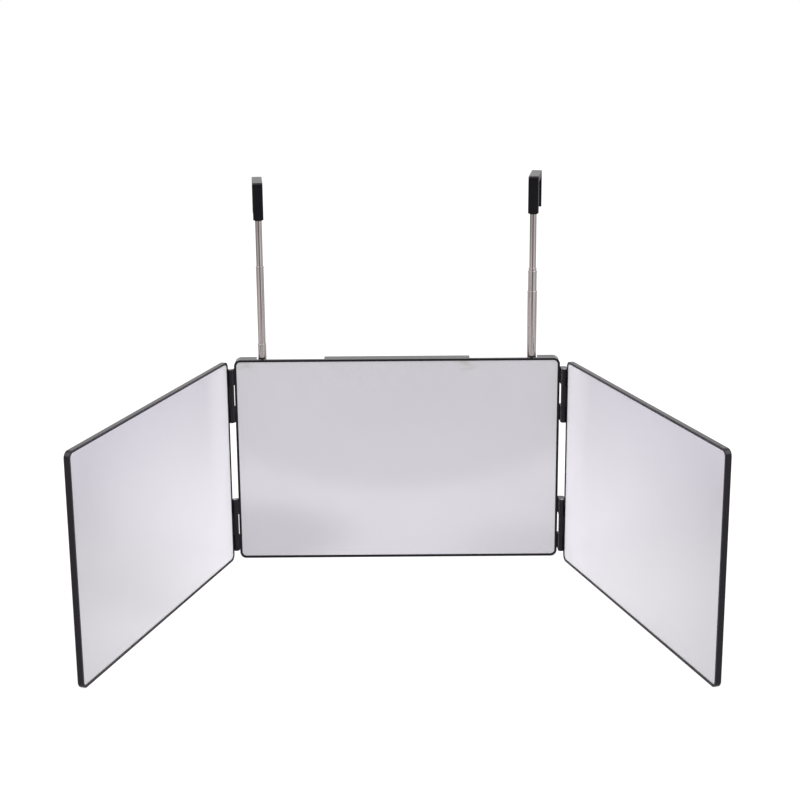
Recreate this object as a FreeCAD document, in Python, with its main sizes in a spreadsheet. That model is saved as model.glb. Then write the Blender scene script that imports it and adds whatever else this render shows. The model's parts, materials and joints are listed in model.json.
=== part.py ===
import FreeCAD, Part
import os
import re
import Sketcher

# Driving sizes, in millimetres and degrees
SIZES = {
    # mirror panels
    "panel_width": 356.0,
    "panel_height": 229.0,
    "panel_corner": 7.0,
    "rim_width": 2.4,
    "rim_round": 0.3,
    "mirror_recess": 0.8,
    "mirror_thickness": 1.5,
    "mirror_gap": 0.15,
    "tape_thickness": 0.4,
    "tape_width": 24.0,
    "tape_margin": 18.0,
    "frame_floor": 1.2,
    "wing_floor": 3.6,
    "wing_round": 1.5,
    "wing_angle": 72.6,
    # hinges between the centre and the wings
    "hinge_length": 60.0,
    "hinge_margin": 10.0,
    "middle_knuckle": 24.0,
    "knuckle_radius": 3.35,
    "knuckle_slot": 0.5,
    "knuckle_gap": 0.3,
    "knuckle_root": 3.4,
    "bracket_round": 2.2,
    "axis_forward": 1.0,
    "stack_gap": 1.8,
    "pin_diameter": 2.5,
    "pin_clearance": 0.05,
    # back cover of the centre panel
    "cover_wall": 1.8,
    "cover_back_wall": 1.3,
    "cover_round": 2.0,
    "bay_corner": 3.0,
    # telescopic masts
    "mast_inset": 30.6,
    "mast_foot": 15.0,
    "seat_shelf": 2.0,
    "tip_diameter": 7.2,
    "diameter_step": 1.0,
    "tube_wall": 0.35,
    "tube_clearance": 0.1,
    "collar_length": 2.0,
    "collar_rise": 0.2,
    "collar_step": 3.3,
    "tip_step": 1.0,
    "neck_length": 8.0,
    "slide_clearance": 0.06,
    "passage_clearance": 0.3,
    "plug_flange": 5.0,
    "plug_spigot": 4.0,
    "plug_clearance": 0.02,
    "plug_seat_gap": 0.3,
    "left_third_draw": 62.3,
    "left_second_draw": 82.2,
    "left_tip_draw": 48.4,
    "right_fourth_draw": 121.9,
    "right_third_draw": 18.8,
    "right_tip_draw": 57.2,
    # over-door hooks
    "hook_width": 11.0,
    "hook_height": 40.5,
    "hook_bar": 6.0,
    "hook_rear_leg": 5.0,
    "hook_cap": 7.0,
    "hook_slope": 1.0,
    "hook_brow": 2.5,
    "hook_round": 0.8,
    "hook_inner_round": 2.5,
    "door_gap": 44.0,
    "socket_depth": 22.0,
    "socket_wall": 0.75,
    "socket_clearance": 0.05,
    "boss_height": 1.0,
    "boss_wall": 0.65,
    "left_hook_angle": 5.6,
    "right_hook_angle": 8.3,
    "swing_room": 1.0,
    "store_room": 1.0,
    "hook_floor_room": 3.5,
    "finger_room": 14.5,
    # straps that clamp the fixed outer tubes
    "strap_height": 70.0,
    "strap_width": 14.0,
    "strap_thickness": 0.5,
    "strap_ear": 8.0,
    # screws and the posts that take them
    "screw_diameter": 2.6,
    "screw_clearance": 0.05,
    "screw_head": 5.0,
    "screw_head_height": 1.6,
    "screw_head_clearance": 0.2,
    "screw_length": 6.0,
    "screw_margin": 14.0,
    "post_radius": 3.0,
    "post_height": 5.3,
    "sleeve_wall": 1.5,
    "strap_post_radius": 2.3,
    "strap_screw_length": 4.2,
    "strap_screw_head": 4.2,
    # how far every cut runs past what it cuts
    "overrun": 1.0,
}

# Sizes that follow from the driving ones
HALF_WIDTH = "(panel_width / 2)"
MAST_SPREAD = f"({HALF_WIDTH} - mast_inset)"
RECESS = "(mirror_recess + mirror_thickness + tape_thickness)"
FRAME_DEPTH = f"({RECESS} + frame_floor)"
WING_DEPTH = f"({RECESS} + wing_floor)"
AXIS_OUT = "(knuckle_radius + knuckle_slot)"
STACK_OFFSET = f"({WING_DEPTH} + stack_gap)"
END_KNUCKLE = "((hinge_length - middle_knuckle) / 2)"
HINGE_FEET = ("hinge_margin", "(panel_height - hinge_margin - hinge_length)")
SWING = "(hook_width / 2 + swing_room)"
MAST_DEPTH = f"({FRAME_DEPTH} + {SWING})"
OUTER_RADIUS = "(tip_diameter / 2 + 2 * diameter_step)"
COVER_DEPTH = f"({SWING} + {OUTER_RADIUS} + tube_clearance + cover_back_wall)"
CENTRE_DEPTH = f"({FRAME_DEPTH} + {COVER_DEPTH})"
HOOK_LEG = "(tip_diameter + 2 * socket_clearance + 2 * socket_wall)"
HOOK_REACH = f"({HOOK_LEG} / 2 + door_gap + hook_rear_leg)"
BAY_OUTER = f"({MAST_SPREAD} + {SWING})"
BAY_INNER = f"({MAST_SPREAD} - {HOOK_REACH} - finger_room)"
STORED_HOOK = "(panel_height - store_room - hook_height)"
BAY_FLOOR = f"({STORED_HOOK} - hook_floor_room)"
OUTER_TOP = f"({STORED_HOOK} - tip_step - 3 * collar_step)"
OUTER_FOOT = "(mast_foot + plug_flange)"
STACK_STEP = "(plug_spigot + plug_flange + plug_seat_gap)"
SCREW_SPREAD = f"(({BAY_OUTER} + {HALF_WIDTH}) / 2)"
SLEEVE_FLOOR = f"({FRAME_DEPTH} + post_height + sleeve_wall)"
STRAP_RADIUS = f"({OUTER_RADIUS} + tube_clearance / 2)"
STRAP_SCREW_SPREAD = f"({STRAP_RADIUS} + strap_ear / 2)"

SIDES = {"left": "-1", "right": "1"}
SECTION_DRAWS = {
    "left": {4: "0", 3: "left_third_draw", 2: "left_second_draw", 1: "left_tip_draw"},
    "right": {4: "right_fourth_draw", 3: "right_third_draw", 2: "0", 1: "right_tip_draw"},
}
NAME = re.compile(r"[a-z][a-z_]+")
SIDEWAYS = FreeCAD.Vector(1, 0, 0)
DEPTHWAYS = FreeCAD.Vector(0, 1, 0)
UPRIGHT = FreeCAD.Vector(0, 0, 1)

# Within what two lengths, or two directions' cosines, count as the same
LENGTH_TOLERANCE = 1e-4
ANGLE_TOLERANCE = 1e-6

doc = FreeCAD.newDocument("three_way_mirror")
sheet = doc.addObject("Spreadsheet::Sheet", "Sizes")
for row, (alias, size) in enumerate(SIZES.items(), start=1):
    sheet.set(f"A{row}", alias)
    sheet.set(f"B{row}", str(size))
    sheet.setAlias(f"B{row}", alias)
doc.recompute()

pieces = []


# Formulas

def number(formula):
    """The value of a formula that is written with the sheet's names."""
    plain = NAME.sub(lambda name: f"({SIZES[name[0]]})", formula)
    return FreeCAD.Units.Quantity(f"({plain}) * 1").Value


def bind(thing, where, formula):
    """Ties one property of an object to the sheet."""
    thing.setExpression(where, NAME.sub(lambda name: f"Sizes.{name[0]}", formula))


def times(side, formula):
    """A sideways place on the left or the right."""
    return f"({SIDES[side]} * {formula})"


# Sketches and features

def new_body(label):
    body = doc.addObject("PartDesign::Body", label)
    body.Label = label
    pieces.append(body)
    return body


def new_sketch(body, role, name, offset="0"):
    """A sketch on one of the body's own origin planes, moved along the plane's normal."""
    plane = next(feature for feature in body.Origin.OriginFeatures if feature.Role == role)
    sketch = body.newObject("Sketcher::SketchObject", name)
    sketch.AttachmentSupport = [(plane, "")]
    sketch.MapMode = "FlatFace"
    bind(sketch, "AttachmentOffset.Base.z", offset)
    return sketch


def hold(sketch, constraint, formula):
    index = sketch.addConstraint(constraint)
    bind(sketch, f"Constraints[{index}]", formula)


def hold_point(sketch, geometry, point, across, up):
    """Holds a point of the sketch at two distances from the sketch's origin."""
    for kind, formula in (("DistanceX", across), ("DistanceY", up)):
        hold(sketch, Sketcher.Constraint(kind, -1, 1, geometry, point, number(formula)), formula)


def outline(sketch, points):
    """A closed outline of straight lines through points given as pairs of formulas."""
    corners = [FreeCAD.Vector(number(across), number(up), 0) for across, up in points]
    first = sketch.GeometryCount
    for start, end in zip(corners, corners[1:] + corners[:1]):
        sketch.addGeometry(Part.LineSegment(start, end))
    for index, (across, up) in enumerate(points):
        following = first + (index + 1) % len(points)
        sketch.addConstraint(Sketcher.Constraint("Coincident", first + index, 2, following, 1))
        hold_point(sketch, first + index, 1, across, up)


def rectangle(sketch, left, right, bottom, top):
    outline(sketch, [(left, bottom), (right, bottom), (right, top), (left, top)])


def circle(sketch, across, up, radius):
    centre = FreeCAD.Vector(number(across), number(up), 0)
    index = sketch.addGeometry(Part.Circle(centre, UPRIGHT, number(radius)))
    hold_point(sketch, index, 3, across, up)
    hold(sketch, Sketcher.Constraint("Radius", index, number(radius)), radius)


def pad(body, sketch, length, reverse=False, symmetric=False):
    feature = body.newObject("PartDesign::Pad", f"{sketch.Name}_pad")
    feature.Profile = sketch
    feature.Reversed = reverse
    if symmetric:
        feature.SideType = "Symmetric"
    bind(feature, "Length", length)
    return feature


def pocket(body, sketch, length, reverse=False):
    """A cut that has to take material away."""
    doc.recompute()
    before = body.Shape.Volume
    feature = body.newObject("PartDesign::Pocket", f"{sketch.Name}_pocket")
    feature.Profile = sketch
    feature.Reversed = reverse
    bind(feature, "Length", length)
    doc.recompute()
    if body.Shape.Volume >= before:
        raise RuntimeError(f"{feature.Name} cuts nothing")
    return feature


def rounded(body, radius, test):
    """Rounds the edges of the body's last feature that pass a test."""
    doc.recompute()
    base = body.Tip
    names = [f"Edge{index}" for index, edge in enumerate(base.Shape.Edges, start=1) if test(edge)]
    feature = body.newObject("PartDesign::Fillet", f"{body.Name}_round")
    feature.Base = (base, names)
    bind(feature, "Radius", radius)
    doc.recompute()
    return feature


def revolve(body, points):
    """A turned piece from its half section, given as radius and height."""
    sketch = new_sketch(body, "XZ_Plane", f"{body.Name}_section")
    outline(sketch, points)
    feature = body.newObject("PartDesign::Revolution", f"{body.Name}_turned")
    feature.Profile = sketch
    feature.ReferenceAxis = (sketch, ["V_Axis"])
    return feature


def group(label, members):
    """Like pieces that share one node as separate solids."""
    node = doc.addObject("Part::Compound", label)
    node.Label = label
    node.Links = members
    pieces.append(node)
    return node


def place(thing, across="0", depth="0", up="0", turn=None):
    """Puts a piece at a distance from the middle, behind the centre panel's front face and above its foot."""
    if turn is not None:
        thing.Placement.Rotation = FreeCAD.Rotation(UPRIGHT, number(turn))
        bind(thing, "Placement.Rotation.Angle", turn)
    bind(thing, "Placement.Base.x", across)
    bind(thing, "Placement.Base.y", f"({depth}) - {CENTRE_DEPTH} / 2")
    bind(thing, "Placement.Base.z", up)


# Edge tests

def lies_along(edge, axis):
    if edge.Curve.TypeId != "Part::GeomLine":
        return False
    return abs(abs(edge.Curve.Direction.dot(axis)) - 1) < ANGLE_TOLERANCE


def same(first, second):
    return abs(first - second) < LENGTH_TOLERANCE


def flat_at(edge, axis, level):
    """Whether an edge lies wholly in the plane at a level along X, Y or Z."""
    box = edge.BoundBox
    low = getattr(box, f"{axis}Min")
    high = getattr(box, f"{axis}Max")
    return same(low, level) and same(high, level)


# Mirror panels

def panel_tray(body, left, right, front, depth):
    """A tray with a thin rim, open to the front."""
    face = new_sketch(body, "XZ_Plane", f"{body.Name}_face", f"-({front})")
    rectangle(face, left, right, "0", "panel_height")
    pad(body, face, depth, reverse=True)
    rounded(body, "panel_corner", lambda edge: lies_along(edge, DEPTHWAYS))
    recess = new_sketch(body, "XZ_Plane", f"{body.Name}_recess", f"-({front})")
    rectangle(recess, f"{left} + rim_width", f"{right} - rim_width", "rim_width", "panel_height - rim_width")
    pocket(body, recess, RECESS)
    walls = [number(f"{left} + rim_width"), number(f"{right} - rim_width")]
    rounded(
        body,
        "(panel_corner - rim_width)",
        lambda edge: lies_along(edge, DEPTHWAYS) and any(same(edge.BoundBox.XMin, wall) for wall in walls),
    )
    rounded(body, "rim_round", lambda edge: flat_at(edge, "Y", number(front)) and on_outside(edge, left, right))


def on_outside(edge, left, right):
    """Whether an edge of a panel's face is on its outline and not round its recess."""
    box = edge.BoundBox
    at_sides = same(box.XMin, number(left)) or same(box.XMax, number(right))
    return at_sides or same(box.ZMin, 0) or same(box.ZMax, number("panel_height"))


def panel_mirror(label, left, right, front):
    """The mirror plate in a tray, with a gap all round."""
    body = new_body(label)
    inset = "(rim_width + mirror_gap)"
    face = new_sketch(body, "XZ_Plane", f"{label}_face", f"-({front} + mirror_recess)")
    rectangle(face, f"{left} + {inset}", f"{right} - {inset}", inset, f"panel_height - {inset}")
    pad(body, face, "mirror_thickness", reverse=True)
    rounded(body, f"(panel_corner - {inset})", lambda edge: lies_along(edge, DEPTHWAYS))
    return body


def panel_tape(label, left, front):
    """Four upright strips of adhesive tape between a mirror and the floor of its tray."""
    strips = []
    pitch = "((panel_width - 2 * tape_margin - tape_width) / 3)"
    for index in range(4):
        strip = doc.addObject("Part::Box", f"{label}_strip")
        bind(strip, "Length", "tape_width")
        bind(strip, "Width", "tape_thickness")
        bind(strip, "Height", "panel_height - 2 * tape_margin")
        bind(strip, "Placement.Base.x", f"{left} + tape_margin + {index} * {pitch}")
        bind(strip, "Placement.Base.y", f"{front} + mirror_recess + mirror_thickness")
        bind(strip, "Placement.Base.z", "tape_margin")
        strips.append(strip)
    return group(label, strips)


# Hinges

def hinge_axis(side):
    """The hinge axis from above. The right one stands forward, so that its wing folds over the left one."""
    forward = "axis_forward" if side == "left" else f"axis_forward + {STACK_OFFSET}"
    return times(side, f"({HALF_WIDTH} + {AXIS_OUT})"), f"-({forward})"


def knuckle(body, name, arm, axis, foot, length):
    """A hinge barrel and the arm that carries it."""
    arm_sketch = new_sketch(body, "XY_Plane", f"{name}_arm", foot)
    outline(arm_sketch, arm)
    pad(body, arm_sketch, length)
    barrel = new_sketch(body, "XY_Plane", f"{name}_barrel", foot)
    circle(barrel, *axis, "knuckle_radius")
    pad(body, barrel, length)


def pin_bore(body, name, axis):
    bore = new_sketch(body, "XY_Plane", f"{name}_bore", "-overrun")
    circle(bore, *axis, "pin_diameter / 2 + pin_clearance")
    pocket(body, bore, "panel_height + 2 * overrun", reverse=True)


def hinge_pins(side):
    """The two steel pins on one side."""
    across, depth = hinge_axis(side)
    pins = []
    for foot in HINGE_FEET:
        pin = doc.addObject("Part::Cylinder", f"{side}_pin")
        bind(pin, "Radius", "pin_diameter / 2")
        bind(pin, "Height", "hinge_length")
        bind(pin, "Placement.Base.z", foot)
        pins.append(pin)
    place(group(f"{side}_hinge_pins", pins), across, depth)


# Centre panel and wings

def centre_arm(side):
    """Outline, from above, of the arm between the centre panel's side and the barrel."""
    edge = times(side, HALF_WIDTH)
    middle, front = hinge_axis(side)
    if side == "left":
        return [(edge, "0"), (edge, "knuckle_root"), (middle, f"{front} + knuckle_radius"),
                (middle, f"{front} - knuckle_radius")]
    inner = f"{middle} - knuckle_radius"
    outer = f"{middle} + knuckle_radius"
    return [(edge, "0"), (edge, "knuckle_root"), (outer, "knuckle_root"), (outer, front),
            (inner, front), (inner, "0")]


def cover_screw_places():
    rows = ("screw_margin", "panel_height - screw_margin")
    return [(across, up) for across in (f"-{SCREW_SPREAD}", "0", SCREW_SPREAD) for up in rows]


def centre_frame():
    """The centre tray with its end knuckles and the posts that take the cover's screws."""
    body = new_body("centre_frame")
    panel_tray(body, f"-{HALF_WIDTH}", HALF_WIDTH, "0", FRAME_DEPTH)
    for side in SIDES:
        for index, foot in enumerate(HINGE_FEET):
            for end, rise in enumerate(("0", f"hinge_length - {END_KNUCKLE}")):
                name = f"{side}_knuckle_{index}{end}"
                knuckle(body, name, centre_arm(side), hinge_axis(side), f"{foot} + {rise}", END_KNUCKLE)
        pin_bore(body, f"{side}_pin", hinge_axis(side))
    outer = number(f"{hinge_axis('right')[0]} + knuckle_radius")
    rounded(
        body,
        "bracket_round",
        lambda edge: lies_along(edge, UPRIGHT) and same(edge.BoundBox.XMin, outer)
        and same(edge.BoundBox.YMin, number("knuckle_root")),
    )
    posts = new_sketch(body, "XZ_Plane", "cover_posts", f"-{FRAME_DEPTH}")
    for across, up in cover_screw_places():
        circle(posts, across, up, "post_radius")
    pad(body, posts, "post_height", reverse=True)
    pilots = new_sketch(body, "XZ_Plane", "cover_pilots", f"-{FRAME_DEPTH}")
    for across, up in cover_screw_places():
        circle(pilots, across, up, "screw_diameter / 2 + screw_clearance")
    pocket(body, pilots, "post_height + overrun")
    place(body)


def wing(side):
    """A wing panel, drawn opened flat with the hinge axis at its origin and then folded forward."""
    body = new_body(f"{side}_wing_frame")
    near = times(side, AXIS_OUT)
    far = times(side, f"({AXIS_OUT} + panel_width)")
    left, right = (far, near) if side == "left" else (near, far)
    front = "axis_forward"
    panel_tray(body, left, right, front, WING_DEPTH)
    rounded(body, "wing_round", lambda edge: flat_at(edge, "Y", number(f"{front} + {WING_DEPTH}")))
    arm = [(near, front), (near, f"{front} + knuckle_root"), ("0", "knuckle_radius"), ("0", "-knuckle_radius")]
    for index, foot in enumerate(HINGE_FEET):
        name = f"{side}_wing_knuckle_{index}"
        rise = f"{foot} + {END_KNUCKLE} + knuckle_gap"
        knuckle(body, name, arm, ("0", "0"), rise, "middle_knuckle - 2 * knuckle_gap")
    pin_bore(body, f"{side}_wing_pin", ("0", "0"))
    mirror = panel_mirror(f"{side}_wing_mirror", left, right, front)
    tape = panel_tape(f"{side}_wing_tape", left, front)
    turn = "wing_angle" if side == "left" else "-wing_angle"
    for piece in (body, mirror, tape):
        place(piece, *hinge_axis(side), turn=turn)


# Back cover

def cover_outline(inset):
    """The cover's outline from behind, with the two hook bays cut into its top edge."""
    half = f"{HALF_WIDTH} - {inset}"
    top = f"panel_height - {inset}"
    floor = f"{BAY_FLOOR} - {inset}"
    outer = f"{BAY_OUTER} + {inset}"
    inner = f"{BAY_INNER} - {inset}"
    right = [(half, inset), (half, top), (outer, top), (outer, floor), (inner, floor), (inner, top)]
    left = [(f"-({across})", up) for across, up in reversed(right)]
    return right + left


def back_cover():
    """A moulded shell behind the centre tray that houses the masts and leaves the hook bays open."""
    body = new_body("centre_back_cover")
    shell = new_sketch(body, "XZ_Plane", "cover_shell", f"-{FRAME_DEPTH}")
    outline(shell, cover_outline("0"))
    pad(body, shell, COVER_DEPTH, reverse=True)
    hollow = new_sketch(body, "XZ_Plane", "cover_hollow", f"-{FRAME_DEPTH}")
    outline(hollow, cover_outline("cover_wall"))
    pocket(body, hollow, f"{COVER_DEPTH} - cover_back_wall")

    def corner_at(inset):
        """Tests for the four outer corners of the shell or of its hollow."""
        half = number(f"{HALF_WIDTH} - {inset}")
        ends = [number(inset), number(f"panel_height - {inset}")]
        return lambda edge: (
            lies_along(edge, DEPTHWAYS)
            and same(abs(edge.BoundBox.XMin), half)
            and any(same(edge.BoundBox.ZMin, end) for end in ends)
        )

    rounded(body, "(panel_corner - cover_wall)", corner_at("cover_wall"))
    rounded(body, "panel_corner", corner_at("0"))
    bay_walls = [number(BAY_INNER), number(BAY_OUTER)]
    rounded(
        body,
        "bay_corner",
        lambda edge: lies_along(edge, DEPTHWAYS)
        and any(same(abs(edge.BoundBox.XMin), wall) for wall in bay_walls)
        and same(edge.BoundBox.ZMin, number(BAY_FLOOR)),
    )
    rounded(body, "cover_round", lambda edge: flat_at(edge, "Y", number(CENTRE_DEPTH)))
    cover_fixings(body)
    place(body)


def cover_fixings(body):
    """Sleeves for the cover's screws, mast seats, strap posts and the holes that the masts rise through."""
    inner_face = f"({CENTRE_DEPTH} - cover_back_wall)"
    head_room = "(screw_head / 2 + screw_head_clearance)"
    sleeves = new_sketch(body, "XZ_Plane", "screw_sleeves", f"-{inner_face}")
    wells = new_sketch(body, "XZ_Plane", "screw_wells", f"-({CENTRE_DEPTH} + overrun)")
    holes = new_sketch(body, "XZ_Plane", "screw_holes", f"-({CENTRE_DEPTH} + overrun)")
    for across, up in cover_screw_places():
        circle(sleeves, across, up, f"{head_room} + sleeve_wall")
        circle(wells, across, up, head_room)
        circle(holes, across, up, "screw_diameter / 2 + screw_clearance")
    pad(body, sleeves, f"{inner_face} - {FRAME_DEPTH} - post_height")
    pocket(body, wells, f"{CENTRE_DEPTH} + overrun - {SLEEVE_FLOOR}", reverse=True)
    pocket(body, holes, COVER_DEPTH, reverse=True)
    seats = new_sketch(body, "XY_Plane", "mast_seats", "mast_foot - seat_shelf")
    passages = new_sketch(body, "XY_Plane", "mast_passages", f"{BAY_FLOOR} + overrun")
    posts = new_sketch(body, "XZ_Plane", "strap_posts", f"-{inner_face}")
    pilots = new_sketch(body, "XZ_Plane", "strap_pilots", f"-{MAST_DEPTH}")
    for side in SIDES:
        mast = times(side, MAST_SPREAD)
        rectangle(seats, f"{mast} - {OUTER_RADIUS}", f"{mast} + {OUTER_RADIUS}",
                  f"{MAST_DEPTH} - {OUTER_RADIUS}", inner_face)
        circle(passages, mast, MAST_DEPTH, f"{section_radius(4)} + collar_rise + passage_clearance")
        for ear in ("-1", "1"):
            across = f"{mast} + {ear} * {STRAP_SCREW_SPREAD}"
            circle(posts, across, "strap_height", "strap_post_radius")
            circle(pilots, across, "strap_height", "screw_diameter / 2 + screw_clearance")
    pad(body, seats, "seat_shelf")
    pocket(body, passages, "cover_wall + 2 * overrun")
    pad(body, posts, f"{inner_face} - {MAST_DEPTH}")
    pocket(body, pilots, "strap_screw_length")


# Masts

def section_radius(index):
    """Outer radius of a tube: 1 is the tip and 5 the fixed outer tube."""
    return f"(tip_diameter / 2 + {index - 1} * diameter_step / 2)"


def section_length(index):
    """Tubes get shorter inwards, so that each shows a collar's step when all are pushed in."""
    outer = f"({OUTER_TOP} - {OUTER_FOOT})"
    if index > 1:
        return f"({outer} - {5 - index} * ({STACK_STEP} - collar_step))"
    return f"({section_length(2)} - {STACK_STEP} + tip_step + socket_depth - plug_seat_gap)"


def section_top(side, index):
    """Height of a tube's top end, as the masts stand at rest."""
    if index == 5:
        return OUTER_TOP
    draw = SECTION_DRAWS[side][index]
    below = section_top(side, index + 1)
    if index > 1:
        return f"({below} + collar_step + {draw})"
    return f"({below} + tip_step + {draw} + socket_depth - plug_seat_gap)"


def tube(label, index):
    """A drawn steel tube with a neck that guides the next tube and, where it slides, a rolled collar."""
    body = new_body(label)
    radius = section_radius(index)
    bore = f"({radius} - tube_wall)"
    length = section_length(index)
    if index == 1:
        revolve(body, [(bore, "0"), (radius, "0"), (radius, length), (bore, length)])
        return body
    collar = f"({radius} + collar_rise)"
    neck = f"({section_radius(index - 1)} + slide_clearance)"
    rolled = [
        (radius, f"{length} - collar_length"),
        (collar, f"{length} - collar_length + collar_rise"),
        (collar, f"{length} - collar_rise"),
    ]
    revolve(body, [
        (bore, "0"),
        (radius, "0"),
        *(rolled if index < 5 else []),
        (radius, length),
        (neck, length),
        (neck, f"{length} - neck_length"),
        (bore, f"{length} - neck_length"),
    ])
    return body


def plug(label, index):
    """The turned brass plug in a tube's foot. Its flange runs in the next tube out, and stops under its neck."""
    body = new_body(label)
    spigot = f"({section_radius(index)} - tube_wall - plug_clearance)"
    flange = section_radius(index)
    if index < 5:
        flange = f"({section_radius(index + 1)} - tube_wall - slide_clearance)"
    revolve(body, [
        ("0", "-plug_flange"),
        (flange, "-plug_flange"),
        (flange, "0"),
        (spigot, "0"),
        (spigot, "plug_spigot"),
        ("0", "plug_spigot"),
    ])
    return body


def mast(side):
    for index in (5, 4, 3, 2, 1):
        names = (f"{side}_mast_section_{index}", f"{side}_mast_plug_{index}")
        if index == 5:
            names = (f"{side}_mast_outer_tube", f"{side}_mast_foot")
        foot = f"{section_top(side, index)} - {section_length(index)}"
        for piece in (tube(names[0], index), plug(names[1], index)):
            place(piece, times(side, MAST_SPREAD), MAST_DEPTH, foot)


def tube_strap(side):
    """A bent steel strap that clamps the fixed tube against the back cover."""
    label = f"{side}_tube_strap"
    height = "strap_width"
    outer = doc.addObject("Part::Cylinder", f"{label}_outside")
    inner = doc.addObject("Part::Cylinder", f"{label}_inside")
    ears = doc.addObject("Part::Box", f"{label}_ears")
    bind(outer, "Radius", f"{STRAP_RADIUS} + strap_thickness")
    bind(inner, "Radius", STRAP_RADIUS)
    bind(outer, "Height", height)
    bind(inner, "Height", f"{height} + 2 * overrun")
    bind(inner, "Placement.Base.z", "-overrun")
    outer.Angle = 180
    outer.Placement.Rotation = FreeCAD.Rotation(UPRIGHT, 180)
    bind(ears, "Length", f"2 * ({STRAP_RADIUS} + strap_ear)")
    bind(ears, "Width", "strap_thickness")
    bind(ears, "Height", height)
    bind(ears, "Placement.Base.x", f"-({STRAP_RADIUS} + strap_ear)")
    bind(ears, "Placement.Base.y", "-strap_thickness")
    bent = doc.addObject("Part::Fuse", f"{label}_bent")
    bent.Base = outer
    bent.Tool = ears
    cuts = [inner]
    for ear in ("-1", "1"):
        hole = doc.addObject("Part::Cylinder", f"{label}_hole")
        hole.Placement.Rotation = FreeCAD.Rotation(SIDEWAYS, -90)
        bind(hole, "Radius", "screw_diameter / 2 + screw_clearance")
        bind(hole, "Height", "strap_thickness + 2 * overrun")
        bind(hole, "Placement.Base.x", f"{ear} * {STRAP_SCREW_SPREAD}")
        bind(hole, "Placement.Base.y", "-strap_thickness - overrun")
        bind(hole, "Placement.Base.z", f"{height} / 2")
        cuts.append(hole)
    tools = doc.addObject("Part::MultiFuse", f"{label}_cuts")
    tools.Shapes = cuts
    strap = doc.addObject("Part::Cut", label)
    strap.Label = label
    strap.Base = bent
    strap.Tool = tools
    pieces.append(strap)
    place(strap, times(side, MAST_SPREAD), MAST_DEPTH, f"strap_height - {height} / 2")


# Hooks

def hook(side):
    """A moulded door hook whose front leg turns on the mast's tip. It is drawn reaching back along +Y."""
    body = new_body(f"{side}_hook")
    front = f"(-{HOOK_LEG} / 2)"
    inside = f"({HOOK_LEG} / 2)"
    behind = f"({inside} + door_gap)"
    under = "(hook_height - hook_bar)"
    profile = new_sketch(body, "YZ_Plane", f"{side}_hook_profile")
    outline(profile, [
        (front, "boss_height"),
        (inside, "boss_height"),
        (inside, under),
        (behind, under),
        (behind, "boss_height"),
        (HOOK_REACH, "boss_height"),
        (HOOK_REACH, "hook_height"),
        (f"{front} + hook_slope", "hook_height"),
        (front, "hook_height - hook_cap"),
    ])
    pad(body, profile, "hook_width", symmetric=True)
    inner_corners = [number(inside), number(behind)]
    rounded(
        body,
        "hook_inner_round",
        lambda edge: flat_at(edge, "Z", number(under)) and any(flat_at(edge, "Y", at) for at in inner_corners),
    )
    low = number("boss_height")
    top = number("hook_height")
    rear = number(HOOK_REACH)
    brow = number(f"{front} + hook_slope + hook_brow")

    def outside(edge):
        """Whether an edge runs up the front leg's side, along the bar's top or round the rear leg's back."""
        if flat_at(edge, "Z", low):
            return False
        along_sides = edge.BoundBox.YMax < brow or flat_at(edge, "Z", top)
        return flat_at(edge, "Y", rear) or (along_sides and not lies_along(edge, SIDEWAYS))

    rounded(body, "hook_brow", lambda edge: flat_at(edge, "Z", top) and edge.BoundBox.YMax < brow)
    rounded(body, "hook_round", outside)
    socket_radius = "(tip_diameter / 2 + socket_clearance)"
    boss = new_sketch(body, "XY_Plane", f"{side}_hook_boss")
    circle(boss, "0", "0", f"{socket_radius} + boss_wall")
    pad(body, boss, "boss_height + overrun")
    socket = new_sketch(body, "XY_Plane", f"{side}_hook_socket")
    circle(socket, "0", "0", socket_radius)
    pocket(body, socket, "socket_depth", reverse=True)
    turn = "left_hook_angle" if side == "left" else "-right_hook_angle"
    foot = f"{section_top(side, 1)} - socket_depth + plug_seat_gap"
    place(body, times(side, MAST_SPREAD), MAST_DEPTH, foot, turn=turn)


# Screws

def screw(label, head, length):
    """A plain-shanked screw that points along -Y, with its head's underside at the origin."""
    parts = []
    for name, radius, height, start in (
        ("head", f"{head} / 2", "screw_head_height", "0"),
        ("shank", "screw_diameter / 2", length, f"-({length})"),
    ):
        rod = doc.addObject("Part::Cylinder", f"{label}_{name}")
        rod.Placement.Rotation = FreeCAD.Rotation(SIDEWAYS, -90)
        bind(rod, "Radius", radius)
        bind(rod, "Height", height)
        bind(rod, "Placement.Base.y", start)
        parts.append(rod)
    whole = doc.addObject("Part::MultiFuse", label)
    whole.Shapes = parts
    return whole


def cover_screws():
    screws = []
    for across, up in cover_screw_places():
        one = screw("cover_screw", "screw_head", "screw_length")
        bind(one, "Placement.Base.x", across)
        bind(one, "Placement.Base.z", up)
        screws.append(one)
    place(group("cover_screws", screws), depth=SLEEVE_FLOOR)


def strap_screws():
    """The strap's screws come from the front, before the tray closes the housing."""
    screws = []
    for side in SIDES:
        for ear in ("-1", "1"):
            one = screw("strap_screw", "strap_screw_head", "strap_screw_length")
            one.Placement.Rotation = FreeCAD.Rotation(UPRIGHT, 180)
            bind(one, "Placement.Base.x", f"{times(side, MAST_SPREAD)} + {ear} * {STRAP_SCREW_SPREAD}")
            screws.append(one)
    place(group("strap_screws", screws), depth=f"{MAST_DEPTH} - strap_thickness", up="strap_height")


# The assembly

centre_frame()
place(panel_mirror("centre_mirror", f"-{HALF_WIDTH}", HALF_WIDTH, "0"))
place(panel_tape("centre_tape", f"-{HALF_WIDTH}", "0"))
back_cover()
cover_screws()
strap_screws()
for name in SIDES:
    hinge_pins(name)
    wing(name)
    tube_strap(name)
    mast(name)
    hook(name)
doc.recompute()

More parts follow.
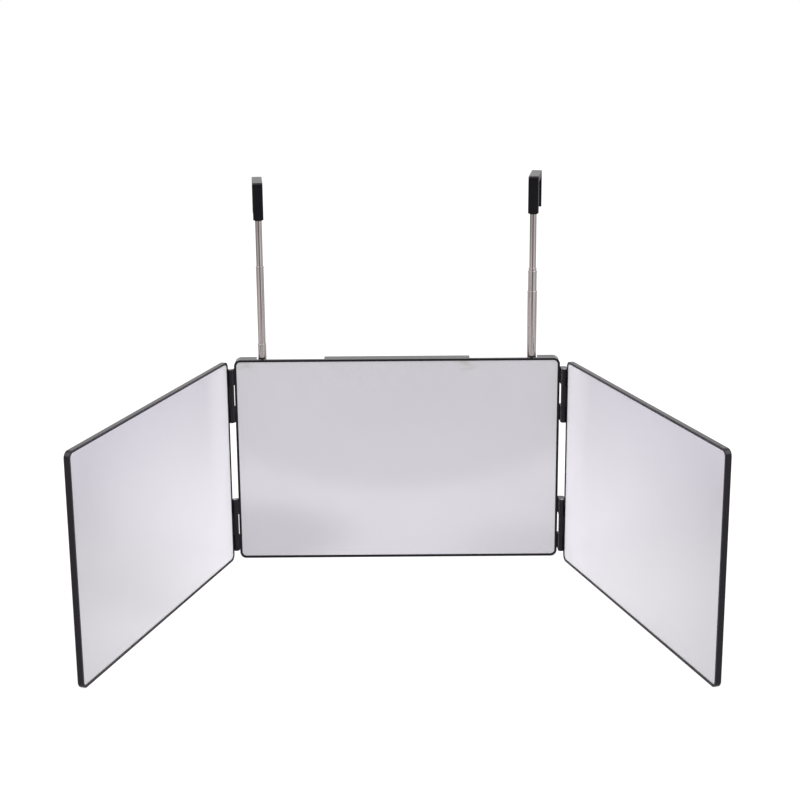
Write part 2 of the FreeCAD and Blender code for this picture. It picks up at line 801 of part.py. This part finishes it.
# Checks before anything is written
for thing in doc.Objects:
    if {"Invalid", "Error"} & set(thing.State):
        raise RuntimeError(f"{thing.Label} failed: {thing.State}")
for piece in pieces:
    if piece.Shape.isNull() or not piece.Shape.isValid():
        raise RuntimeError(f"{piece.Label} has no valid shape")

os.makedirs("parts", exist_ok=True)
for piece in pieces:
    piece.Shape.exportStep(f"parts/{piece.Label}.step")
    print(piece.Label, len(piece.Shape.Solids), round(piece.Shape.Volume, 1))
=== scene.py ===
import json
import math

import bmesh
import bpy
from mathutils import Matrix, Vector


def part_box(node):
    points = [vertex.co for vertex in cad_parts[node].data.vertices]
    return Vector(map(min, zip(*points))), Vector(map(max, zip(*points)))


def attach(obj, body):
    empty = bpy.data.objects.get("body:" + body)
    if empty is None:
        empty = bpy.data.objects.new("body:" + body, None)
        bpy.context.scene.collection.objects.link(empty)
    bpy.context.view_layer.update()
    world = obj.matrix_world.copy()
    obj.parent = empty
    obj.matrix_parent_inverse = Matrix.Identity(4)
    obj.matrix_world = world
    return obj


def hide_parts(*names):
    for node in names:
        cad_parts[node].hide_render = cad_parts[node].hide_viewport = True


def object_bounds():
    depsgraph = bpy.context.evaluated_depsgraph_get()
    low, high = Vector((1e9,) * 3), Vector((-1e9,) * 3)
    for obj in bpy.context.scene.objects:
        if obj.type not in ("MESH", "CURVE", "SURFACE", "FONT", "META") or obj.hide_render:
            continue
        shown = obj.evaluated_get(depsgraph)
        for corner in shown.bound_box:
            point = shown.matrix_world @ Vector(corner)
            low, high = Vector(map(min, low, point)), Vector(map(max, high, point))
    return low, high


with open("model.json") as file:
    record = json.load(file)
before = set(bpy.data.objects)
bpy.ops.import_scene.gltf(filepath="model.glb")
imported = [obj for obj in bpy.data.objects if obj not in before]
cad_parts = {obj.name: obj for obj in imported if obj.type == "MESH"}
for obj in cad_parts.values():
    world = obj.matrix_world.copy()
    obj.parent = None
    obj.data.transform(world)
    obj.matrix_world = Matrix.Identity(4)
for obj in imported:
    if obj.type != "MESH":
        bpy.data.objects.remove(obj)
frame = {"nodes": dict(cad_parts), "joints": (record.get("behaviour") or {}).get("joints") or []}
cad_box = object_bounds()

# Camera of the photograph, in metres and radians
CAMERA_PLACE = (0.004429, -1.729584, 0.642976)
CAMERA_PITCH = 0.26125
CAMERA_YAW = 0.00081
CAMERA_ROLL = -0.00769
LENS_MM = 73.037
SENSOR_MM = 36.0

# Floor, lamps and surroundings, in metres and watts
FLOOR_HALF = 8.0
FLOOR_DROP = 0.0002
FLOOR_WHITE = 0.9
FLOOR_GLOW = 0.86
FLOOR_SHADE_SHARE = 0.3
BACKDROP_GLOW = 1.0
WHITE = (1, 1, 1, 1)
WORLD_FILL = 0.75
GLOSSY_BRIGHT = 1.0
GLOSSY_CAMERA_SIDE = 0.15
CAMERA_SIDE_START = -0.95
CAMERA_SIDE_END = -0.55
SOFTBOX_SIDE = 2.4
SOFTBOXES = {"key_softbox": ((-1.6, -1.2, 2.4), 36.5), "fill_softbox": ((1.6, -1.2, 2.4), 44.0)}

# How the floor shows in polished surfaces: a lit pool before the part, its edge bowed by X squared
MIRRORED_SHADE_SHARE = 0.1
NEAR_FLOOR = 0.455
LIT_START = 0.235
LIT_END = 0.285
LIT_BOW = 3.2
LIT_GAIN = 0.12
# For each wing: the shade's place beside the hinge's foot, its even core, its reach and its depth
WING_SHADES = {
    "left_wing_fold": (Vector((0.008, -0.075, 0)), 0.065, 0.15, 0.15),
    "right_wing_fold": (Vector((-0.03, -0.02, 0)), 0.03, 0.13, 0.075),
}

# A fainter shade on that floor, farther towards the camera
FRONT_SHADE_PLACE = (0.06, -0.7, 0)
FRONT_SHADE_REACH = 0.36
FRONT_SHADE_DEPTH = 0.045

# How the studio further out shows in them: where it starts, where it is faint, and the loss on each side
ORIGIN = (0, 0, 0)
NEAR_REACH = 1.0
FAR_REACH = 1.45
FAINT_REACH = 2.4
LEFT_LOSS = 0.42
RIGHT_LOSS = 0.1
# Shares of a half turn away from the camera's side, each with its brightness
FAR_STOPS = ((0.0, 0.08), (0.08, 0.1), (0.17, 0.72), (0.32, 0.66), (0.45, 0.42), (1.0, 0.38))

# Patterns in the finishes, in metres
GRAIN_SIZE = 0.0007
GRAIN_HEIGHT = 0.00003
MARK_SIZE = 0.02
HAZE_SIZE = 0.06
SMUDGE_SIZE = 0.012
STREAK_WIDTH = 0.0005
TURNING_PITCH = 0.0003
FOAM_CELL = 0.0009
EVEN = (1, 1, 1)
LEVEL = (1, 1, 0)
ALONG_THE_TUBE = (1, 1, 60)
AROUND_THE_PLUG = (40, 40, 1)
NOISE_LOW = 0.3
NOISE_HIGH = 0.7
PLAIN_DETAIL = 3.0
FINE_DETAIL = 5.0

# Plastics, metals and tape: darkest and lightest tone, smoothest and dullest roughness
FRAME_TONES = ((0.0052, 0.0042, 0.0064), (0.008, 0.0068, 0.0096))
FRAME_ROUGHNESS = (0.17, 0.21)
HOOK_TONES = ((0.0028, 0.0024, 0.0033), (0.0045, 0.004, 0.0052))
HOOK_ROUGHNESS = (0.28, 0.36)
PLASTIC_SHINE = 0.32
PLASTIC_SHINE_TINT = (1, 0.93, 1, 1)
STEEL_TONES = ((0.53, 0.467, 0.46), (0.715, 0.64, 0.635))
STEEL_ROUGHNESS = (0.06, 0.14)
BRASS_TONES = ((0.66, 0.48, 0.24), (0.76, 0.58, 0.32))
BRASS_ROUGHNESS = (0.25, 0.4)
FIXING_TONES = ((0.46, 0.46, 0.45), (0.58, 0.58, 0.56))
FIXING_ROUGHNESS = (0.28, 0.42)
TAPE_TONES = ((0.72, 0.72, 0.7), (0.84, 0.84, 0.82))
TAPE_ROUGHNESS = 0.9

# Mirrors: the film's tones and roughness, and the share of silver that shows through it
CENTRE_TONES = ((0.92, 0.9, 0.955), (0.93, 0.91, 0.965))
CENTRE_ROUGHNESS = (0.13, 0.17)
CENTRE_SILVER = 0.8
WING_TONES = ((0.9, 0.885, 0.922), (0.91, 0.895, 0.932))
WING_ROUGHNESS = (0.29, 0.34)

# The wings' veil, painted light that lightens them towards the hinges' feet: silver at the hinge's foot and
# at its reach in metres, its slope and its squeeze in height
PAINTED_LIGHT_SILVER = 0.0
WING_SILVER = 1.0
PAINTED_LIGHT_REACH = 0.4
PAINTED_LIGHT_SLOPE = 0.2
PAINTED_LIGHT_SQUEEZE = 1.65
# At the hinge line only a share of that silver shows, so the veil paints light along it, and all of it from
# the edge's end on, in metres
PAINTED_EDGE_LIGHT_SHARE = 0.25
PAINTED_EDGE_LIGHT_START = 0.008
PAINTED_EDGE_LIGHT_END = 0.065

# Smears on the centre mirror: their places as shares of its width, and their size in metres
SMEAR_TONE = (0.78, 0.74, 0.72)
SMEAR_SHARES = (0.03, 0.72)
SMEAR_REACH = 0.016
SMEAR_SIZE = 0.004
SMEAR_STRETCH = (4, 1, 1)
SMEAR_LOW = 0.42
SMEAR_HIGH = 0.62

# Screw heads, in metres
SCREW_HEAD = 0.005
RECESS_LENGTH = 0.003
RECESS_WIDTH = 0.0007
RECESS_DEPTH = 0.0009
WELD = 0.000001

# The mix node's first value, second value and result, for numbers and for colours
MIX_SOCKETS = {"FLOAT": (2, 3, 0), "RGBA": (6, 7, 2)}


# Shader sums

def give(tree, socket, value):
    """Links a socket to another one, or sets it to a plain value."""
    if isinstance(value, bpy.types.NodeSocket):
        tree.links.new(value, socket)
    else:
        socket.default_value = value


def calculate(tree, operation, *values):
    """One sum, each value a socket or a plain number."""
    node = tree.nodes.new("ShaderNodeMath")
    node.operation = operation
    for socket, value in zip(node.inputs, values):
        give(tree, socket, value)
    return node.outputs[0]


def distance(tree, position, place):
    """How far a position lies from a place."""
    apart = tree.nodes.new("ShaderNodeVectorMath")
    apart.operation = "DISTANCE"
    give(tree, apart.inputs[0], position)
    give(tree, apart.inputs[1], place)
    return apart.outputs["Value"]


def split(tree, vector):
    """The X, Y and Z of a vector."""
    parts = tree.nodes.new("ShaderNodeSeparateXYZ")
    tree.links.new(vector, parts.inputs["Vector"])
    return parts.outputs


def spread(tree, value, start, end, low, high, shape="LINEAR"):
    """Turns the numbers from start to end into those from low to high."""
    ranged = tree.nodes.new("ShaderNodeMapRange")
    ranged.interpolation_type = shape
    ends = {"Value": value, "From Min": start, "From Max": end, "To Min": low, "To Max": high}
    for name, number in ends.items():
        give(tree, ranged.inputs[name], number)
    return ranged.outputs["Result"]


def ramp(tree, value, start, end, low, high):
    """The same as spread, with soft ends."""
    return spread(tree, value, start, end, low, high, "SMOOTHSTEP")


def mixed(tree, kind, factor, first, second):
    """Two numbers or two colours, mixed by a share."""
    mix = tree.nodes.new("ShaderNodeMix")
    mix.data_type = kind
    first_index, second_index, result_index = MIX_SOCKETS[kind]
    give(tree, mix.inputs[0], factor)
    give(tree, mix.inputs[first_index], first)
    give(tree, mix.inputs[second_index], second)
    return mix.outputs[result_index]


def choose(tree, factor, first, second):
    """The first number where the factor is 0, the second where it is 1."""
    return mixed(tree, "FLOAT", factor, first, second)


# Finishes

class Finish:
    """A material under construction: its tree, its shader and the object's own coordinates."""

    def __init__(self, name):
        self.material = bpy.data.materials.new(name)
        self.material.use_nodes = True
        self.tree = self.material.node_tree
        self.shader = self.tree.nodes["Principled BSDF"]
        self.place = self.tree.nodes.new("ShaderNodeTexCoord").outputs["Object"]

    def fill(self, **values):
        """Fills the shader's sockets, with an underscore for each space in their names."""
        for name, value in values.items():
            give(self.tree, self.shader.inputs[name.replace("_", " ")], value)

    def noise(self, size, stretch=EVEN, detail=PLAIN_DETAIL):
        """Noise with features of a given size, stretched along some axes."""
        mapping = self.tree.nodes.new("ShaderNodeMapping")
        mapping.inputs["Scale"].default_value = [1 / (size * longer) for longer in stretch]
        self.tree.links.new(self.place, mapping.inputs["Vector"])
        texture = self.tree.nodes.new("ShaderNodeTexNoise")
        texture.inputs["Scale"].default_value = 1
        texture.inputs["Detail"].default_value = detail
        self.tree.links.new(mapping.outputs["Vector"], texture.inputs["Vector"])
        return texture.outputs["Fac"]

    def between(self, noise, limits):
        """Numbers between two limits, by a noise."""
        return spread(self.tree, noise, NOISE_LOW, NOISE_HIGH, *limits)

    def tones(self, noise, colours):
        """Colours between two tones, by a noise."""
        dark, light = colours
        return mixed(self.tree, "RGBA", self.between(noise, (0, 1)), (*dark, 1), (*light, 1))

    def nearest(self, places, counted=EVEN):
        """Distance to the nearest of some places, along the axes that are counted."""
        position = self.tree.nodes.new("ShaderNodeVectorMath")
        position.operation = "MULTIPLY"
        give(self.tree, position.inputs[0], self.place)
        give(self.tree, position.inputs[1], counted)
        distances = [distance(self.tree, position.outputs["Vector"], place) for place in places]
        least = distances[0]
        for other in distances[1:]:
            least = calculate(self.tree, "MINIMUM", least, other)
        return least

    def relief(self, noise, height):
        """Lets a noise stand out from the surface."""
        bump = self.tree.nodes.new("ShaderNodeBump")
        bump.inputs["Distance"].default_value = height
        self.tree.links.new(noise, bump.inputs["Height"])
        self.fill(Normal=bump.outputs["Normal"])


def moulded_plastic(name, tones, roughness):
    """Black plastic with a fine moulded grain and faint handling marks."""
    finish = Finish(name)
    grain = finish.noise(GRAIN_SIZE)
    marks = finish.noise(MARK_SIZE)
    finish.fill(Base_Color=finish.tones(grain, tones), Roughness=finish.between(marks, roughness))
    finish.fill(Specular_IOR_Level=PLASTIC_SHINE, Specular_Tint=PLASTIC_SHINE_TINT)
    finish.relief(grain, GRAIN_HEIGHT)
    return finish.material


def metal(name, size, stretch, tones, roughness):
    """Metal with a fine pattern, drawn out the way it was worked."""
    finish = Finish(name)
    pattern = finish.noise(size, stretch)
    finish.fill(Base_Color=finish.tones(pattern, tones), Roughness=finish.between(pattern, roughness))
    finish.fill(Metallic=1.0)
    return finish.material


def foam_tape(name):
    """Pale foam with open cells."""
    finish = Finish(name)
    cells = finish.noise(FOAM_CELL)
    finish.fill(Base_Color=finish.tones(cells, TAPE_TONES), Roughness=TAPE_ROUGHNESS)
    finish.relief(cells, GRAIN_HEIGHT)
    return finish.material


def film(finish, tones, roughness):
    """The clouded colour of a mirror's film, which also softens what the mirror shows."""
    smudges = finish.noise(SMUDGE_SIZE, detail=FINE_DETAIL)
    finish.fill(Roughness=finish.between(smudges, roughness))
    return finish.tones(finish.noise(HAZE_SIZE), tones)


def centre_glass(name):
    """Silvered plate whose film has faint brown smears on the upper edge."""
    finish = Finish(name)
    tree = finish.tree
    low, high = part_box("centre_mirror")
    places = [(low[0] + share * (high[0] - low[0]), low[1], high[2]) for share in SMEAR_SHARES]
    close = spread(tree, finish.nearest(places), 0, SMEAR_REACH, 1, 0)
    streaks = finish.noise(SMEAR_SIZE, SMEAR_STRETCH, FINE_DETAIL)
    smeared = calculate(tree, "MULTIPLY", close, spread(tree, streaks, SMEAR_LOW, SMEAR_HIGH, 0, 1))
    clean = film(finish, CENTRE_TONES, CENTRE_ROUGHNESS)
    finish.fill(Base_Color=mixed(tree, "RGBA", smeared, clean, (*SMEAR_TONE, 1)), Metallic=CENTRE_SILVER)
    return finish.material


def hinge_feet():
    """The lower ends of the two hinge lines, as the wings stand at rest."""
    joints = [joint for joint in frame["joints"] if joint["name"] in WING_SHADES]
    return {joint["name"]: Vector(joint["pos_m"]) * Vector(LEVEL) for joint in joints}


def wing_glass_painted_light(name):
    """Silvered plate with a milky veil, spread outward and a little upward from the hinges' feet: painted
    light that lightens the wings there and along the hinge line.
    """
    finish = Finish(name)
    tree = finish.tree
    along = finish.nearest(hinge_feet().values(), LEVEL)
    middle = calculate(tree, "MULTIPLY", along, PAINTED_LIGHT_SLOPE)
    rise = calculate(tree, "SUBTRACT", split(tree, finish.place)["Z"], middle)
    above = calculate(tree, "MULTIPLY", rise, PAINTED_LIGHT_SQUEEZE)
    squares = [calculate(tree, "MULTIPLY", side, side) for side in (along, above)]
    apart = calculate(tree, "SQRT", calculate(tree, "ADD", *squares))
    # Painted light: less silver near the hinges' feet and along the hinge line lets the pale veil lighten
    # the wing there
    silver = spread(tree, apart, 0, PAINTED_LIGHT_REACH, PAINTED_LIGHT_SILVER, WING_SILVER)
    edge = spread(tree, along, PAINTED_EDGE_LIGHT_START, PAINTED_EDGE_LIGHT_END, PAINTED_EDGE_LIGHT_SHARE, 1)
    finish.fill(Base_Color=film(finish, WING_TONES, WING_ROUGHNESS))
    finish.fill(Metallic=calculate(tree, "MULTIPLY", silver, edge))
    return finish.material


FINISHES = {
    "frame_plastic": moulded_plastic("black_frame", FRAME_TONES, FRAME_ROUGHNESS),
    "hook_plastic": moulded_plastic("black_hook", HOOK_TONES, HOOK_ROUGHNESS),
    "mirror": centre_glass("centre_glass"),
    "wing_mirror": wing_glass_painted_light("wing_glass_painted_light"),
    "mast_steel": metal("drawn_steel", STREAK_WIDTH, ALONG_THE_TUBE, STEEL_TONES, STEEL_ROUGHNESS),
    "plug_brass": metal("turned_brass", TURNING_PITCH, AROUND_THE_PLUG, BRASS_TONES, BRASS_ROUGHNESS),
    "fixing_steel": metal("plated_steel", GRAIN_SIZE, EVEN, FIXING_TONES, FIXING_ROUGHNESS),
    "tape": foam_tape("foam_tape"),
}
FINISH_OF_WORD = {
    "frame": "frame_plastic",
    "cover": "frame_plastic",
    "hook": "hook_plastic",
    "mirror": "mirror",
    "tape": "tape",
    "plug": "plug_brass",
    "foot": "plug_brass",
    "tube": "mast_steel",
    "section": "mast_steel",
    "screws": "fixing_steel",
    "pins": "fixing_steel",
    "strap": "fixing_steel",
}


def finish_of(node):
    """The finish of a node, from the last word in its name that says what it is."""
    if node.endswith("wing_mirror"):
        return FINISHES["wing_mirror"]
    words = [word for word in node.split("_") if word in FINISH_OF_WORD]
    return FINISHES[FINISH_OF_WORD[words[-1]]]


for node, thing in frame["nodes"].items():
    thing.data.materials.clear()
    thing.data.materials.append(finish_of(node))


# Objects in the scene

def place_in_scene(name, data):
    """An object in the scene for a mesh, a lamp or a camera."""
    thing = bpy.data.objects.new(name, data)
    bpy.context.scene.collection.objects.link(thing)
    return thing


# Screw heads

def add_box(form, centre, sides):
    """Adds a box to a form, by its centre and its sides along X, Y and Z."""
    placing = Matrix.Translation(centre) @ Matrix.Diagonal((*sides, 1))
    bmesh.ops.create_cube(form, size=1, matrix=placing)


def screw_heads(node):
    """Where the heads of the cover's screws lie: in three columns and two rows, at the highest Y."""
    low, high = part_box(node)
    radius = SCREW_HEAD / 2
    columns = (low[0] + radius, (low[0] + high[0]) / 2, high[0] - radius)
    rows = (low[2] + radius, high[2] - radius)
    return [Vector((across, high[1], up)) for across in columns for up in rows]


def cut_recesses(piece, places):
    """Cuts a cross recess into each screw head, with boxes that stand half out of it."""
    form = bmesh.new()
    for place in places:
        add_box(form, place, (RECESS_LENGTH, RECESS_DEPTH * 2, RECESS_WIDTH))
        add_box(form, place, (RECESS_WIDTH, RECESS_DEPTH * 2, RECESS_LENGTH))
    mesh = bpy.data.meshes.new("recesses")
    form.to_mesh(mesh)
    form.free()
    cutter = place_in_scene("recesses", mesh)
    cut = piece.modifiers.new("recesses", "BOOLEAN")
    cut.operation = "DIFFERENCE"
    cut.solver = "EXACT"
    cut.use_self = True
    cut.object = cutter
    depsgraph = bpy.context.evaluated_depsgraph_get()
    result = bpy.data.meshes.new_from_object(piece.evaluated_get(depsgraph))
    piece.modifiers.clear()
    piece.data = result
    bpy.data.objects.remove(cutter)


def recessed_screws(node, body):
    """The cover's screws as they look from behind, each with a cross recess."""
    form = bmesh.new()
    form.from_mesh(frame["nodes"][node].data)
    bmesh.ops.remove_doubles(form, verts=form.verts, dist=WELD)
    mesh = bpy.data.meshes.new(f"{node}_recessed")
    form.to_mesh(mesh)
    form.free()
    mesh.materials.append(FINISHES["fixing_steel"])
    piece = place_in_scene(f"{node}_recessed", mesh)
    cut_recesses(piece, screw_heads(node))
    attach(piece, body)
    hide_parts(node)


recessed_screws("cover_screws", "centre")


# Studio

def light_path(tree):
    """Sockets that say whether a ray looks straight at a surface or at its reflection."""
    path = tree.nodes.new("ShaderNodeLightPath").outputs
    seen = calculate(tree, "MAXIMUM", path["Is Camera Ray"], path["Is Transmission Ray"])
    return seen, path["Is Glossy Ray"]


def studio_world():
    """White all round, but dark in reflections of the side where the camera stands."""
    world = bpy.data.worlds.new("studio")
    bpy.context.scene.world = world
    world.use_nodes = True
    tree = world.node_tree
    seen, glossy = light_path(tree)
    direction = split(tree, tree.nodes.new("ShaderNodeTexCoord").outputs["Generated"])
    limits = (CAMERA_SIDE_START, CAMERA_SIDE_END, GLOSSY_CAMERA_SIDE, GLOSSY_BRIGHT)
    mirrored = ramp(tree, direction["Y"], *limits)
    level = choose(tree, seen, choose(tree, glossy, WORLD_FILL, mirrored), BACKDROP_GLOW)
    background = tree.nodes["Background"]
    background.inputs["Color"].default_value = WHITE
    tree.links.new(level, background.inputs["Strength"])


def curve(tree, value, stops):
    """A smooth curve through places and strengths."""
    fade = tree.nodes.new("ShaderNodeValToRGB")
    fade.color_ramp.interpolation = "EASE"
    while len(fade.color_ramp.elements) < len(stops):
        fade.color_ramp.elements.new(1)
    for stop, (share, strength) in zip(fade.color_ramp.elements, stops):
        stop.position = share
        stop.color = (strength, strength, strength, 1)
    tree.links.new(value, fade.inputs["Fac"])
    return fade.outputs["Color"]


def near_floor(tree, position):
    """The floor close to the part: a lit pool in front of it, with soft shades."""
    along = split(tree, position)
    bow = calculate(tree, "MULTIPLY", calculate(tree, "MULTIPLY", along["X"], along["X"]), LIT_BOW)
    forward = calculate(tree, "MULTIPLY", calculate(tree, "ADD", along["Y"], bow), -1.0)
    level = calculate(tree, "ADD", ramp(tree, forward, LIT_START, LIT_END, LIT_GAIN, 0), NEAR_FLOOR)
    shades = [(FRONT_SHADE_PLACE, 0, FRONT_SHADE_REACH, FRONT_SHADE_DEPTH)]
    for name, foot in hinge_feet().items():
        offset, *sizes = WING_SHADES[name]
        shades.append((foot + offset, *sizes))
    for place, core, reach, depth in shades:
        shade = ramp(tree, distance(tree, position, place), core, reach, depth, 0)
        level = calculate(tree, "SUBTRACT", level, shade)
    return level


def far_floor(tree, position, reach):
    """The studio further out: dark behind the camera, bright at the softboxes, fainter with distance."""
    along = split(tree, position)
    turn = calculate(tree, "ARCTAN2", along["X"], calculate(tree, "MULTIPLY", along["Y"], -1.0))
    half_turns = calculate(tree, "DIVIDE", calculate(tree, "ABSOLUTE", turn), math.pi)
    loss = ramp(tree, along["X"], -FAR_REACH, FAR_REACH, LEFT_LOSS, RIGHT_LOSS)
    faint = calculate(tree, "MULTIPLY", loss, ramp(tree, reach, FAR_REACH, FAINT_REACH, 0, 1))
    kept = calculate(tree, "SUBTRACT", 1.0, faint)
    return calculate(tree, "MULTIPLY", curve(tree, half_turns, FAR_STOPS), kept)


def mirrored_floor(tree):
    """How brightly each place on the floor shows in polished surfaces."""
    position = tree.nodes.new("ShaderNodeNewGeometry").outputs["Position"]
    reach = distance(tree, position, ORIGIN)
    outward = ramp(tree, reach, NEAR_REACH, FAR_REACH, 0, 1)
    return choose(tree, outward, near_floor(tree, position), far_floor(tree, position, reach))


def studio_floor():
    """A white floor that keeps a soft shadow and shows its pools of light in reflections."""
    mesh = bpy.data.meshes.new("studio_floor")
    corners = [(-1, -1), (1, -1), (1, 1), (-1, 1)]
    height = cad_box[0][2] - FLOOR_DROP
    mesh.from_pydata([(x * FLOOR_HALF, y * FLOOR_HALF, height) for x, y in corners], [], [(0, 1, 2, 3)])
    material = bpy.data.materials.new("studio_floor")
    material.use_nodes = True
    mesh.materials.append(material)
    tree = material.node_tree
    tree.nodes.remove(tree.nodes["Principled BSDF"])
    diffuse = tree.nodes.new("ShaderNodeBsdfDiffuse")
    glow = tree.nodes.new("ShaderNodeEmission")
    seen, glossy = light_path(tree)
    mirrored_white = choose(tree, glossy, FLOOR_WHITE, FLOOR_WHITE * MIRRORED_SHADE_SHARE)
    white = choose(tree, seen, mirrored_white, FLOOR_WHITE * FLOOR_SHADE_SHARE)
    tree.links.new(white, diffuse.inputs["Color"])
    level = choose(tree, seen, choose(tree, glossy, 0.0, mirrored_floor(tree)), FLOOR_GLOW)
    tree.links.new(level, glow.inputs["Strength"])
    both = tree.nodes.new("ShaderNodeAddShader")
    tree.links.new(diffuse.outputs["BSDF"], both.inputs[0])
    tree.links.new(glow.outputs["Emission"], both.inputs[1])
    tree.links.new(both.outputs["Shader"], tree.nodes["Material Output"].inputs["Surface"])
    place_in_scene("studio_floor", mesh)


def softbox(name, place, power):
    """A large square lamp that looks at the middle of the part."""
    lamp = bpy.data.lights.new(name, "AREA")
    lamp.size = SOFTBOX_SIDE
    lamp.energy = power
    thing = place_in_scene(name, lamp)
    middle = (Vector(cad_box[0]) + Vector(cad_box[1])) / 2
    thing.location = place
    thing.rotation_euler = (middle - Vector(place)).to_track_quat("-Z", "Y").to_euler()


def camera():
    """The photograph's camera."""
    lens = bpy.data.cameras.new("camera")
    lens.lens = LENS_MM
    lens.sensor_width = SENSOR_MM
    thing = place_in_scene("camera", lens)
    turn = Matrix.Rotation(CAMERA_YAW, 4, "Z") @ Matrix.Rotation(math.pi / 2 - CAMERA_PITCH, 4, "X")
    thing.matrix_world = Matrix.Translation(CAMERA_PLACE) @ turn @ Matrix.Rotation(CAMERA_ROLL, 4, "Z")
    bpy.context.scene.camera = thing


studio_world()
studio_floor()
for name, (place, power) in SOFTBOXES.items():
    softbox(name, place, power)
camera()
bpy.context.scene.view_settings.view_transform = "Standard"
